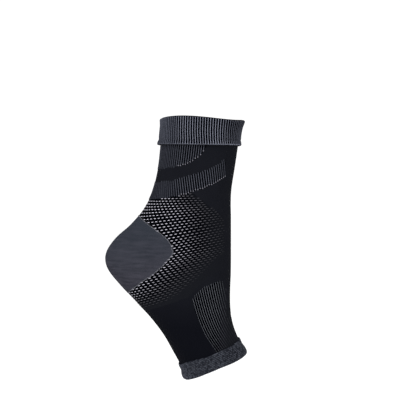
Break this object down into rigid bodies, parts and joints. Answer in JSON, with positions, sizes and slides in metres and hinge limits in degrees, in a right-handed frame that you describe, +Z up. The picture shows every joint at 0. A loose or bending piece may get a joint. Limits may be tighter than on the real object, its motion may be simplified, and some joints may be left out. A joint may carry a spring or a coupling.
{
  "type": "arch support sock",
  "caption": "Open-toed knitted compression sleeve for the foot and ankle, with ribbed cuff, rib panels, mesh zone, heel pocket and toe band, in its worn shape.",
  "frame": {"origin": "centre of the ankle, inside the sleeve, on its plane of symmetry", "axes": "+Z up the leg to the cuff, +X forwards to the toes, +Y to the wearer's left"},
  "size_m": [0.134, 0.0868, 0.2454],
  "materials": {
    "cuff_knit": "grey ribbed knit on black",
    "rib_knit": "grey ribs on black knit",
    "heel_knit": "fine plain blue-grey knit",
    "mesh_knit": "black knit with light grey dots in a staggered mesh",
    "plain_knit": "deep black plain knit",
    "toe_knit": "grey melange knit"
  },
  "bodies": {
    "root": {"top_cuff": "cuff_knit", "achilles_rib_panel": "rib_knit", "wrap_rib_band": "rib_knit", "heel_pocket": "heel_knit", "instep_rib_panel": "rib_knit", "mesh_zone": "mesh_knit", "support_web": "plain_knit", "toe_band": "toe_knit"}
  },
  "joints": []
}
